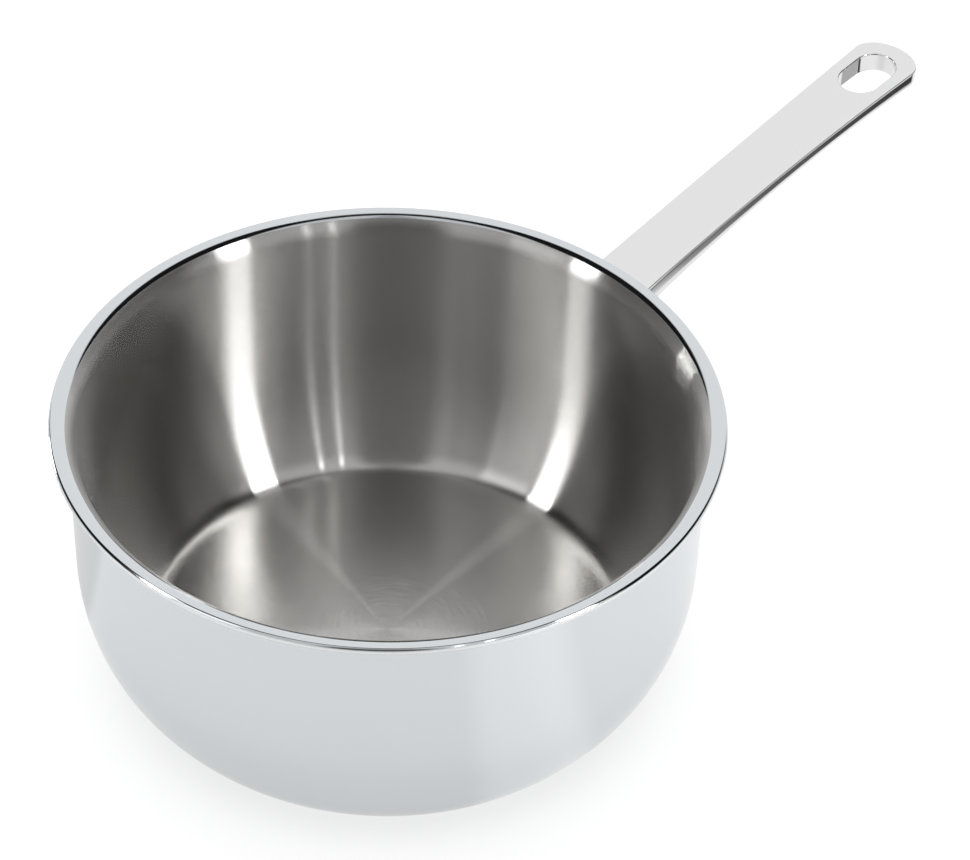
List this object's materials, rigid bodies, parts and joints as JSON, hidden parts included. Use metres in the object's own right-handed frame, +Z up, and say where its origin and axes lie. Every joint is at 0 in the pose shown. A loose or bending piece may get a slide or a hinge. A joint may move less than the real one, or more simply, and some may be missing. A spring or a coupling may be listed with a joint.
{
  "type": "saucier pan",
  "caption": "Open round stainless saucier with a rounded lower wall, a flared pouring lip and a long rising strap handle with a hanging slot.",
  "frame": {"origin": "centre of the base's underside, on the surface that the pan stands on", "axes": "+X along the handle towards its tip, +Z up along the pan's axis, +Y completes a right-handed frame"},
  "size_m": [0.3816, 0.2164, 0.1081],
  "materials": {
    "outer_jacket": "mirror polished",
    "aluminium_core": "rolled, its edge ground flush in the rim",
    "inner_liner": "satin brushed",
    "handle": "polished",
    "weld_seam": "dressed weld"
  },
  "bodies": {
    "root": {"outer_jacket": "outer_jacket", "aluminium_core": "aluminium_core", "inner_liner": "inner_liner", "handle": "handle", "weld_seam": "weld_seam"}
  },
  "joints": []
}
